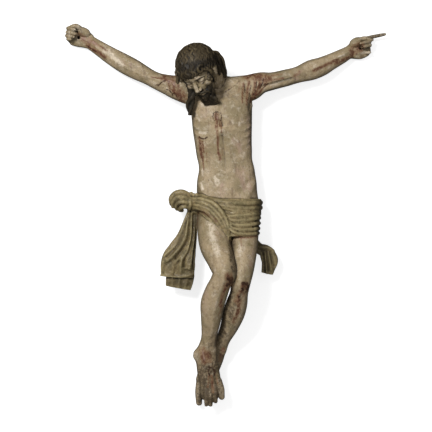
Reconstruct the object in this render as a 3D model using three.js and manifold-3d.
// A carved and painted wooden figure of a crucified man, made for a crucifix whose cross is lost.
// It lies on its back, on the plane that the cross had: X runs to the viewer's right, Y towards the
// head, and Z up, out of the figure's front. Lengths are in millimetres.
import * as THREE from "three";
import { mergeVertices } from "three/addons/utils/BufferGeometryUtils.js";
import Module from "manifold-3d";

// Driving dimensions.
const MIDDLE = { x: 0.4, y: -4.8 }; // middle of the finished outline, in the carver's drawing
const HEAD_TALL = 77; // chin to crown
const DRAWN_HEAD = 77; // the same height as the head below is drawn
const HEAD_AT = [-42, 222, 87]; // between the ears, at eye height
const HEAD_NOD = 40; // degrees forward
const HEAD_TURN = 32; // degrees towards the figure's right
const HEAD_TILT = 13; // degrees towards the figure's right shoulder
const RIGHT_PALM = [-236.6, 281]; // middle of the nail hole in each palm
const LEFT_PALM = [218.4, 264.8];
const NAIL_HOLE = 4.2; // across those holes
const JOINT_GAP = 0.3; // open glue line where an arm meets its shoulder
const FINGER = 3.1; // half a finger's thickness
const TOE = 4.3; // half a small toe's thickness
const KNOT_TURN = 1.2; // radians that the bunches of the knot lean
const WAIST_BAND = 17; // height of the two rolls round the waist
const ROLL_FOLD = 2.4; // half the depth between them
const WRAP_FOLD = 1.4; // half the depth of the folds below them
const SLIVER = 0.4; // edges shorter than this are closed up when forms are joined

const FRONT = new THREE.Vector3(0, 0, 1);
const UP = new THREE.Vector3(0, 1, 0);

const wasm = await Module();
wasm.setup();

// One section of a limb: its middle, half its width, and its depth to the front and to the back.
function ring(x, y, z, wide, fore, back = fore) {
  return { at: new THREE.Vector3(x, y, z), size: new THREE.Vector3(wide, fore, back) };
}

// A long muscle, rib or tendon that stands out of the surface (or sinks into it) along a line.
function swell(from, to, reach, height) {
  const line = new THREE.Line3(new THREE.Vector3(...from), new THREE.Vector3(...to));
  return { line, reach, height };
}

// Moves every vertex of a geometry by a function and keeps the geometry.
function reshaped(geometry, move) {
  const place = geometry.getAttribute("position");
  const point = new THREE.Vector3();
  for (let i = 0; i < place.count; i += 1) {
    point.fromBufferAttribute(place, i);
    move(point);
    place.setXYZ(i, point.x, point.y, point.z);
  }
  return geometry;
}

function swollen(point, outward, swells) {
  const nearest = new THREE.Vector3();
  let rise = 0;
  for (const { line, reach, height } of swells) {
    line.closestPointToPoint(point, true, nearest);
    rise += height * Math.exp(-nearest.distanceToSquared(point) / reach ** 2);
  }
  return point.addScaledVector(outward, rise);
}

// How far a square-shouldered section of the given boxiness stands out of a circle.
function shouldered(across, deep, boxy) {
  return (Math.abs(across) ** boxy + Math.abs(deep) ** boxy) ** (-1 / boxy);
}

// A limb, lock or fold: a capsule laid along its rings. boxy squares the sections, front is the way
// that the fore side faces, and ripple is the height of the ridges along it, as a share of its width.
function limb(rings, options = {}) {
  const { sides = 12, blunt = 0.6, boxy = 2, front = FRONT, ripple = 0, swells = [] } = options;
  const middles = new THREE.CatmullRomCurve3(rings.map((r) => r.at), false, "catmullrom");
  const sizes = new THREE.CatmullRomCurve3(rings.map((r) => r.size), false, "catmullrom");
  const middle = new THREE.Vector3();
  const size = new THREE.Vector3();
  return reshaped(new THREE.CapsuleGeometry(1, 2, 1, sides, rings.length - 1), (p) => {
    const level = THREE.MathUtils.clamp(p.y, -1, 1);
    const share = (1 - level) / 2;
    const past = level - p.y;
    middles.getPoint(share, middle);
    sizes.getPoint(share, size);
    const along = middles.getTangent(share);
    const fore = front.clone().addScaledVector(along, -front.dot(along)).normalize();
    const side = fore.clone().cross(along);
    const round = Math.hypot(p.x, p.z);
    const pole = round < 1e-6;
    const [across, deep] = pole ? [0, 0] : [p.x / round, p.z / round];
    const corner = pole ? 0 : shouldered(across, deep, boxy);
    const outward = side.clone().multiplyScalar(across).addScaledVector(fore, deep);
    const tip = blunt * Math.min(size.x, (size.y + size.z) / 2);
    p.copy(middle);
    p.addScaledVector(side, across * corner * round * size.x);
    p.addScaledVector(fore, deep * corner * round * (deep > 0 ? size.y : size.z));
    p.addScaledVector(along, past * tip);
    p.addScaledVector(outward, ripple * size.x * Math.cos((sides / 2) * Math.atan2(deep, across)));
    swollen(p, outward, swells);
  });
}

// A round mass: a sphere stretched to three half sizes and turned.
function mass(at, half, { turn = [0, 0, 0], sides = 10, rows = 6, swells = [] } = {}) {
  const middle = new THREE.Vector3(...at);
  const turned = new THREE.Euler(...turn.map(THREE.MathUtils.degToRad), "ZYX");
  const outward = new THREE.Vector3();
  return reshaped(new THREE.SphereGeometry(1, sides, rows), (p) => {
    outward.copy(p).normalize().applyEuler(turned);
    p.multiply(new THREE.Vector3(...half)).applyEuler(turned).add(middle);
    swollen(p, outward, swells);
  });
}

// A lock, finger or fold: points with one thickness, which narrows at the root and at the tip.
function strand(points, thick, options = {}) {
  const { tip = 0.6, root = 1 } = options;
  const last = points.length - 1;
  const rings = points.map(([x, y, z], i) => {
    const share = i / last;
    const full = thick * THREE.MathUtils.lerp(root, 1, Math.min(1, share * 3));
    const half = full * THREE.MathUtils.lerp(1, tip, Math.max(0, share * 2 - 1));
    return ring(x, y, z, half, half);
  });
  return limb(rings, { sides: 6, ...options });
}

// A closed geometry as a solid, for joining and cutting.
function solid(geometry) {
  const bare = geometry.clone();
  bare.deleteAttribute("normal");
  bare.deleteAttribute("uv");
  const merged = mergeVertices(bare, 1e-4);
  const corners = merged.index.array;
  const faces = [];
  for (let i = 0; i < corners.length; i += 3) {
    const [a, b, c] = corners.subarray(i, i + 3);
    if (a !== b && b !== c && a !== c) faces.push(a, b, c);
  }
  const vertProperties = merged.getAttribute("position").array;
  const triVerts = new Uint32Array(faces);
  return new wasm.Manifold(new wasm.Mesh({ numProp: 3, vertProperties, triVerts, tolerance: SLIVER }));
}

function joined(geometries) {
  return geometries.map(solid).reduce((whole, part) => whole.add(part));
}

// The form without the small pockets that crossing folds and locks close off inside it.
function pocketless(form) {
  return form.decompose().reduce((a, b) => (a.volume() > b.volume() ? a : b));
}

function piece(name, form, material) {
  const { vertProperties, triVerts } = form.getMesh();
  const geometry = new THREE.BufferGeometry();
  geometry.setAttribute("position", new THREE.BufferAttribute(vertProperties, 3));
  geometry.setIndex(new THREE.BufferAttribute(triVerts, 1));
  geometry.computeVertexNormals();
  const mesh = new THREE.Mesh(geometry, material);
  mesh.name = name;
  return mesh;
}

// Trunk, from the crotch to the foot of the neck.
function trunk() {
  return limb([
    ring(-6.5, 204, 33, 40, 21, 27),
    ring(-7, 192, 35, 49, 25, 32),
    ring(-7, 178, 36, 49.5, 29, 36.5),
    ring(-6.3, 163, 37, 49, 31.5, 38),
    ring(-5.7, 148, 37, 48.3, 32, 37.7),
    ring(-5, 133, 37, 47.5, 31, 36.5),
    ring(-4, 119, 37, 46.3, 29, 34),
    ring(-3, 106, 37, 45.3, 26, 31),
    ring(-1.8, 94, 37, 44.6, 22.5, 28),
    ring(0, 79, 37, 43.2, 20.5, 26),
    ring(1.7, 64, 36, 45.3, 20.5, 26),
    ring(2, 48, 35, 47.7, 22, 28),
    ring(2.5, 30, 34, 48.5, 25, 32),
    ring(4.5, 6, 34, 49, 27, 36),
    ring(4.5, -14, 34, 47, 27, 36),
    ring(4.5, -30, 34, 42, 24, 30),
  ], { sides: 20, boxy: 2.4, swells: [
    swell([-18, 168, 68], [-50, 184, 62], 15, 3.5),
    swell([6, 168, 68], [36, 184, 62], 15, 3.5),
    swell([-6, 140, 68], [-6, 190, 62], 6, -3),
    swell([-10, 128, 68], [-36, 104, 56], 8, 3),
    swell([2, 128, 68], [30, 104, 56], 8, 3),
    swell([-3, 102, 64], [-1, 84, 58], 12, -1.5),
    swell([1, 62, 56], [2, 44, 58], 20, 3),
    swell([-38, 44, 50], [-26, 24, 58], 8, 2.5),
    swell([42, 44, 50], [32, 24, 58], 8, 2.5),
    swell([-2, 59, 60], [-2, 59, 60], 4.5, -3),
  ] });
}

function neck() {
  return limb([
    ring(-4, 192, 34, 22, 18),
    ring(-12, 206, 42, 18, 17),
    ring(-22, 216, 56, 17, 17),
    ring(-32, 224, 72, 17, 17),
  ], { sides: 8 });
}

// The girdle that carries the shoulders and the slopes of the neck.
function shoulders() {
  return limb([
    ring(-70, 198, 36, 20, 17),
    ring(-44, 199, 37, 20, 19),
    ring(-22, 203, 38, 17, 19),
    ring(-4, 201, 38, 16, 19),
    ring(16, 201, 38, 16.5, 19),
    ring(46, 204.5, 37, 16.5, 17),
  ], { sides: 10 });
}

// The arms run from inside the chest to the heel of the hand.
const rightArmRings = [
  ring(-40, 190, 38, 22, 17, 20),
  ring(-62, 196, 37, 22.5, 18.5, 18),
  ring(-79, 200, 36, 19.5, 17.5, 17),
  ring(-95, 205, 34, 15.8, 15, 15.5),
  ring(-110, 210.5, 32, 13.5, 13.5),
  ring(-124, 217.5, 30, 13.2, 13),
  ring(-146, 229.5, 26, 15.4, 13),
  ring(-165, 240, 22.5, 15.4, 12.5),
  ring(-185, 252, 18.5, 13.8, 11.5),
  ring(-201, 262.5, 14.5, 12.2, 10),
  ring(-217, 273, 10.5, 11, 8.5, 9),
  ring(-226, 279, 8.5, 12, 8, 9),
];

const leftArmRings = [
  ring(24, 193, 38, 20, 15, 20),
  ring(41, 200, 37, 21, 18, 18),
  ring(57, 207, 36, 17.4, 17, 17),
  ring(75, 210, 34, 14.3, 15),
  ring(96.8, 215.3, 31, 13.6, 13.5),
  ring(116, 220.6, 28, 13.2, 13),
  ring(137, 228, 25, 16.3, 13),
  ring(154, 233.8, 22.5, 15.3, 12.5),
  ring(170, 242, 19, 13.2, 11.5),
  ring(186.4, 250.5, 15, 11.7, 10),
  ring(199.5, 258, 11, 10.4, 8.5, 9),
  ring(206, 261, 8.5, 12, 8, 9),
];

// Each leg is crossed, bent at the knee and pointed at the foot.
function rightLeg() {
  return limb([
    ring(-18, 2, 36, 24, 24, 28),
    ring(-19, -25.6, 46, 26, 26, 27),
    ring(-16.3, -52.8, 64, 25, 24, 25),
    ring(-7.5, -76.8, 80, 21.6, 20, 22),
    ring(-2.2, -96, 90, 19, 18, 19),
    ring(-7.4, -110.4, 88, 17.2, 16, 19),
    ring(-14.2, -126.4, 82, 18.7, 15, 21),
    ring(-20.5, -145.6, 74, 19.2, 15, 22),
    ring(-22.7, -166.4, 66, 16.8, 13.5, 18),
    ring(-24.6, -185.6, 58, 14, 12, 13),
    ring(-26.8, -202, 52, 12.2, 11, 12),
    ring(-29.5, -216, 47, 14, 11.5, 14),
    ring(-31.5, -228, 43, 17.5, 13, 17),
    ring(-29.5, -241, 40, 17.5, 13, 14),
    ring(-27.8, -254, 38, 17.8, 11, 11),
    ring(-25.5, -267, 37, 17.7, 8.5, 9.5),
    ring(-23.5, -278, 35, 17, 6.5, 8),
  ], { swells: [
    swell([-2.2, -97, 108], [-2.2, -97, 108], 10, 2.5),
    swell([-48, -228, 43], [-48, -228, 43], 7, 2.5),
    swell([-15, -222, 48], [-15, -222, 48], 7, 2.5),
  ] });
}

function leftLeg() {
  return limb([
    ring(28, 2, 36, 22, 24, 28),
    ring(30, -25.6, 42, 23, 24, 27),
    ring(30, -52.8, 55, 21.5, 22, 24),
    ring(28.4, -76.8, 67, 19.5, 19, 22),
    ring(26, -96, 74, 18, 18, 19),
    ring(23.8, -112, 77, 16, 16, 17),
    ring(21.6, -128, 72, 14.5, 13, 18),
    ring(17.8, -145.6, 64, 17, 13, 20),
    ring(12.8, -163.2, 55, 17.5, 12.5, 19),
    ring(5.6, -184, 44, 14.5, 11.5, 14),
    ring(-3.2, -203.2, 33, 11.5, 10.5, 12),
    ring(-11, -220, 23, 12.5, 10.5, 16),
    ring(-17, -234, 17, 14.5, 11, 19),
    ring(-23, -248, 14, 15, 11, 17),
    ring(-29, -261, 13, 15.5, 10, 15),
    ring(-33.5, -274, 12, 15, 8.5, 13.5),
  ], { swells: [swell([24, -112, 95], [24, -112, 95], 9, 2.5)] });
}

// A heel and five toes, or fewer where the rest are hidden under the other foot.
function footEnd(heel, toes) {
  return [mass(...heel, { sides: 8 }), ...toes.map((path, i) => {
    const thick = i === 0 ? TOE * 1.35 : TOE * (1 - 0.03 * i);
    return strand(path, thick, { blunt: 0.9, tip: 0.85 });
  })];
}

// The right foot lies on the left, and one nail went through both.
function feet() {
  return [
    ...footEnd([[-30, -226, 30], [11, 12, 12]], [
      [[-11.5, -270, 38], [-7.5, -284, 38], [-6, -297, 34]],
      [[-19, -272, 38], [-16.5, -290, 39], [-16, -304, 33]],
      [[-25, -272, 37], [-24.5, -294, 38], [-24, -309.5, 31]],
      [[-31, -272, 36], [-31, -294, 37], [-30.5, -309.5, 31]],
      [[-37, -268, 35], [-36.5, -284, 35], [-35.5, -297, 31]],
    ]),
    ...footEnd([[-14, -226, 8], [11, 12, 12]], [
      [[-41, -268, 13], [-43, -290, 15], [-42.5, -308, 13]],
      [[-33.5, -276, 12], [-33.5, -291, 14], [-33, -301, 12]],
      [[-26, -276, 11], [-26, -288, 13], [-26, -297, 11]],
    ]),
  ];
}

// A finger from its knuckle: each bone bends further towards the front, over the palm.
function finger(knuckle, outward, bends, bones, thick = FINGER) {
  const reach = new THREE.Vector3(...outward).normalize();
  const at = new THREE.Vector3(...knuckle);
  const path = [at.toArray()];
  let bend = 0;
  bones.forEach((length, i) => {
    bend += THREE.MathUtils.degToRad(bends[i]);
    at.addScaledVector(reach, length * Math.cos(bend));
    at.addScaledVector(FRONT, length * Math.sin(bend));
    path.push(at.toArray());
  });
  return strand(path, thick, { sides: 5, tip: 0.8, blunt: 0.9, front: UP });
}

function rightHand() {
  const out = [-0.95, 0.22, 0];
  return [
    limb([
      ring(-219, 275, 9, 12, 8, 10),
      ring(-232, 281, 8, 15.5, 8, 10),
      ring(-245, 284, 8, 15, 7, 10),
      ring(-250, 285, 8, 12, 6, 8),
    ], { sides: 12, boxy: 2.6 }),
    mass([-229, 290, 14], [12, 8, 8], { turn: [0, 0, -20] }),
    strand([[-231, 294, 17], [-241, 299.5, 21], [-253, 296.5, 23]], FINGER * 1.25, { blunt: 1, front: UP }),
    finger([-246, 294, 9], out, [50, 75, 50], [12, 9, 7]),
    finger([-248, 288, 9], out, [60, 80, 45], [13, 10, 7]),
    finger([-247, 282, 9], out, [45, 80, 55], [12, 9, 7]),
    finger([-243, 276, 9], out, [25, 60, 50], [11, 8, 6], FINGER * 0.9),
  ];
}

function leftHand() {
  const out = [0.95, 0.22, 0];
  return [
    limb([
      ring(200, 258, 9, 11, 8, 10),
      ring(213, 262.5, 8, 16.5, 8, 10),
      ring(225, 266.5, 8, 15.5, 7, 10),
      ring(229, 268, 8, 12, 6, 8),
    ], { sides: 12, boxy: 2.6 }),
    mass([211, 273.5, 14], [12, 8, 8], { turn: [0, 0, 24] }),
    strand([[214, 277, 17], [225, 279.5, 20], [236.5, 277, 22]], FINGER * 1.2, { blunt: 1, front: UP }),
    finger([224, 280, 11], [0.97, 0.19, 0], [8, 0, 0], [14, 12, 8], FINGER * 0.95),
    finger([226, 273, 9], out, [60, 85, 45], [13, 10, 7]),
    finger([226, 267, 9], out, [55, 85, 50], [12, 9, 7]),
    finger([220, 257, 9], [0.99, 0.02, 0], [30, 10, 0], [7, 5, 3]),
  ];
}

// Head, in its own frame: X to the figure's left, Y to the crown, Z to the face.
function headPieces() {
  const skull = mass([0, 8, -3], [26.5, 31, 34], { sides: 12, rows: 8, swells: [
    swell([-11, 0, 31], [-11, 0, 31], 7, -4),
    swell([11, 0, 31], [11, 0, 31], 7, -4),
  ] });
  const jaw = limb([
    ring(0, 4, 10, 23, 19, 18),
    ring(0, -14, 10, 20.5, 18, 16),
    ring(0, -28, 14, 14, 14, 12),
    ring(0, -34, 16, 9, 10, 8),
  ]);
  const nose = strand([[0, 5, 28], [0, -5, 32], [0, -13, 35.5]], 4, { tip: 1.15, root: 0.7 });
  return [skull, jaw, nose, hairCap(), ...beard(), ...sideLocks()];
}

// Wavy hair that runs out from the crown, ridge beside groove, and stops at the brow.
function hairCap() {
  const middle = new THREE.Vector3(0, 14, -7);
  const half = new THREE.Vector3(32, 31, 34);
  const ridges = 13;
  return reshaped(new THREE.SphereGeometry(1, ridges * 2, 8), (p) => {
    const around = Math.atan2(p.z, p.x);
    const down = Math.acos(THREE.MathUtils.clamp(p.y, -1, 1));
    const relief = 1 + 0.05 * Math.sin(down) * Math.cos(ridges * around);
    p.applyAxisAngle(UP, 0.16 * Math.sin(down) * Math.sin(5 * down));
    p.multiply(half).multiplyScalar(relief).add(middle);
  });
}

function beard() {
  const made = [];
  for (let i = -2; i <= 2; i += 1) {
    const lift = 2 * i * i;
    made.push(strand([
      [i * 9, -20 + lift, 24 - Math.abs(i) * 4],
      [i * 8, -33 + lift, 27 - Math.abs(i) * 4],
      [i * 5, -44 + lift, 24 - Math.abs(i) * 3],
    ], 6, { tip: 0.5 }));
  }
  for (const side of [-1, 1]) {
    made.push(strand([[side, -19, 33], [side * 8, -21, 32], [side * 14, -28, 26]], 2.6));
  }
  return made;
}

function sideLocks() {
  const made = [];
  for (const side of [-1, 1]) {
    for (const back of [0, 11, 22]) {
      made.push(strand([
        [side * 26, 20 - back * 0.3, 14 - back],
        [side * 31, 6, 10 - back],
        [side * 28, -12, 8 - back],
        [side * 25, -29, 4 - back],
      ], 7));
    }
  }
  return made;
}

// The long lock on the right breast, and the hair that falls behind the ears.
function fallingHair() {
  return [
    strand([[-58, 208, 78], [-53, 194, 78], [-54, 182, 74], [-58, 170, 68], [-56, 156, 65]], 7),
    strand([[-66, 216, 68], [-74, 224, 62], [-76, 214, 56], [-70, 200, 54]], 7.5),
    strand([[-19, 248, 72], [-11.5, 242.5, 66], [-6, 233, 58], [-2, 218, 50]], 8, { tip: 0.8 }),
    strand([[-15, 236, 74], [-9, 224, 68], [-6, 212, 60]], 5),
  ];
}

// Loincloth: two rolls round the waist, and below them a wrap in sagging folds, whose lower edge
// climbs over the right thigh. The back is flat.
function wrap() {
  const middle = 4.5;
  const rows = 8;
  const rollRows = 4;
  return reshaped(new THREE.CylinderGeometry(1, 1, 1, 24, rows), (p) => {
    const row = Math.round((0.5 - p.y) * rows);
    const fall = row / rows;
    const below = Math.max(0, (row - rollRows) / (rows - rollRows));
    const front = THREE.MathUtils.smoothstep(p.z, -0.4, 0.2);
    const height = row <= rollRows ? ROLL_FOLD : WRAP_FOLD;
    const relief = height * THREE.MathUtils.smoothstep(p.z, -0.9, -0.4) * (row % 2 === 0 ? -1 : 1);
    if (Math.abs(p.x) + Math.abs(p.z) > 0) p.multiplyScalar(shouldered(p.x, p.z, 2.4));
    const x = middle + p.x * (relief + (p.x < 0 ? 50 : 54 - 5 * fall * fall));
    const hip = Math.min(0, x);
    const top = 21 + 0.0062 * hip * hip;
    const band = top - (WAIST_BAND * Math.min(row, rollRows)) / rollRows;
    const bottom = -34 + front * (-5 + 0.86 * Math.max(0, 2 - x));
    const swing = relief + (p.z > 0 ? 32 + 13 * fall : 37);
    p.set(x, THREE.MathUtils.lerp(band, bottom, below), 34 + p.z * swing);
  });
}

// The swath that crosses from the knot to the crotch, in three folds.
function swath() {
  return limb([
    ring(-54, 12, 46, 9, 7),
    ring(-34, 9, 59, 11, 8),
    ring(-14, -1, 67, 11, 8),
    ring(-1, -17, 71, 10, 8),
    ring(4, -32, 70, 7, 7),
    ring(5, -46, 64, 4, 5),
  ], { sides: 16, boxy: 2.6, ripple: 0.14 });
}

// The knot: a bunched ball, the cuff that it is tied with, and the cloth pulled up above it.
function knot() {
  const middle = new THREE.Vector3(-72.5, 17, 42);
  const half = new THREE.Vector3(15, 15.5, 14);
  const bunches = 6;
  const ball = reshaped(new THREE.SphereGeometry(1, bunches * 2, 7), (p) => {
    const relief = 1 + 0.1 * Math.cos(bunches * Math.atan2(p.x, p.z)) * Math.hypot(p.x, p.z);
    p.applyAxisAngle(UP, 0.5 * p.y).applyAxisAngle(FRONT, KNOT_TURN);
    p.multiply(half).multiplyScalar(relief).add(middle);
  });
  const cuff = mass([-57, 16, 44], [8, 13, 12], { sides: 8 });
  return [ball, cuff, mass([-53, 28, 44], [9, 5.5, 8], { sides: 8, rows: 5 })];
}

// The end of the cloth that hangs from the knot, flares to its hem and shows its other layer.
function hangingCloth() {
  return [
    limb([
      ring(-50, 12, 36, 7, 7),
      ring(-55, -12, 36, 11, 7),
      ring(-62, -41, 36, 16.5, 6.5),
      ring(-69.5, -62, 36, 23, 6.5),
      ring(-75.5, -80, 36, 27.5, 6.5),
      ring(-77.3, -104, 35, 26.5, 5),
    ], { sides: 20, boxy: 3, ripple: 0.07 }),
    limb([
      ring(-72, -98, 31, 22, 4),
      ring(-74, -111, 31, 21.3, 4),
      ring(-76, -122, 30, 19.5, 3),
    ], { sides: 12, boxy: 3, ripple: 0.05 }),
  ];
}

// The other end of the cloth, blown out from behind the left thigh.
function flyingCloth() {
  return limb([
    ring(24, -20, 14, 18, 7),
    ring(38, -46, 19, 14, 6),
    ring(53, -58, 24, 9, 6),
    ring(64, -64, 24, 11.5, 6),
    ring(71, -77, 24, 13.5, 6),
    ring(68, -91, 23, 10.5, 5),
    ring(66, -99, 23, 8, 4),
  ], { sides: 16, boxy: 3, ripple: 0.1 });
}

function headPlace() {
  const [nod, turn, tilt] = [HEAD_NOD, -HEAD_TURN, HEAD_TILT].map(THREE.MathUtils.degToRad);
  const turned = new THREE.Quaternion().setFromEuler(new THREE.Euler(nod, turn, tilt, "ZYX"));
  const grown = new THREE.Vector3(1, 1, 1).multiplyScalar(HEAD_TALL / DRAWN_HEAD);
  return new THREE.Matrix4().compose(new THREE.Vector3(...HEAD_AT), turned, grown);
}

// Everything on one side of a plane.
function halfSpace(at, facing) {
  const size = 900;
  const block = new THREE.BoxGeometry(size, size, size);
  block.translate(0, 0, size / 2);
  const turn = new THREE.Quaternion().setFromUnitVectors(FRONT, facing.clone().normalize());
  return solid(block.applyQuaternion(turn).translate(...at));
}

function nailHole([x, y]) {
  const drill = new THREE.CylinderGeometry(NAIL_HOLE / 2, NAIL_HOLE / 2, 200, 10);
  return solid(drill.rotateX(Math.PI / 2).translate(x, y, 0));
}

// Where each arm is let in: a plane across the arm, facing the hand.
const rightSeam = { at: new THREE.Vector3(-92, 203, 34), out: new THREE.Vector3(-0.95, 0.3, 0) };
const leftSeam = { at: new THREE.Vector3(60, 205, 36), out: new THREE.Vector3(0.95, 0.3, 0) };

function pastSeam({ at, out }, by) {
  return halfSpace(at.clone().addScaledVector(out, by), out);
}

const behindPlane = halfSpace(new THREE.Vector3(), new THREE.Vector3(0, 0, -1));

function bodyForm() {
  const head = headPieces().map((form) => form.applyMatrix4(headPlace()));
  const flesh = [trunk(), neck(), shoulders(), rightLeg(), leftLeg(), ...feet(), ...head];
  const cloth = [wrap(), swath(), ...knot(), ...hangingCloth(), flyingCloth()];
  const stumps = joined([limb(rightArmRings), limb(leftArmRings)])
    .subtract(pastSeam(rightSeam, -JOINT_GAP))
    .subtract(pastSeam(leftSeam, -JOINT_GAP));
  const whole = joined([...flesh, ...fallingHair(), ...cloth]).add(stumps);
  return pocketless(whole.subtract(behindPlane));
}

function armForm(rings, hand, seam, palm) {
  const whole = joined([limb(rings), ...hand]).intersect(pastSeam(seam, 0));
  return pocketless(whole.subtract(nailHole(palm)).subtract(behindPlane));
}

const paint = new THREE.MeshStandardMaterial({ color: 0xa8977a, roughness: 0.55, metalness: 0 });

const figure = new THREE.Group();
figure.add(piece("body", bodyForm(), paint));
figure.add(piece("right_arm", armForm(rightArmRings, rightHand(), rightSeam, RIGHT_PALM), paint));
figure.add(piece("left_arm", armForm(leftArmRings, leftHand(), leftSeam, LEFT_PALM), paint));
for (const mesh of figure.children) mesh.position.set(-MIDDLE.x, -MIDDLE.y, 0);

export default figure;
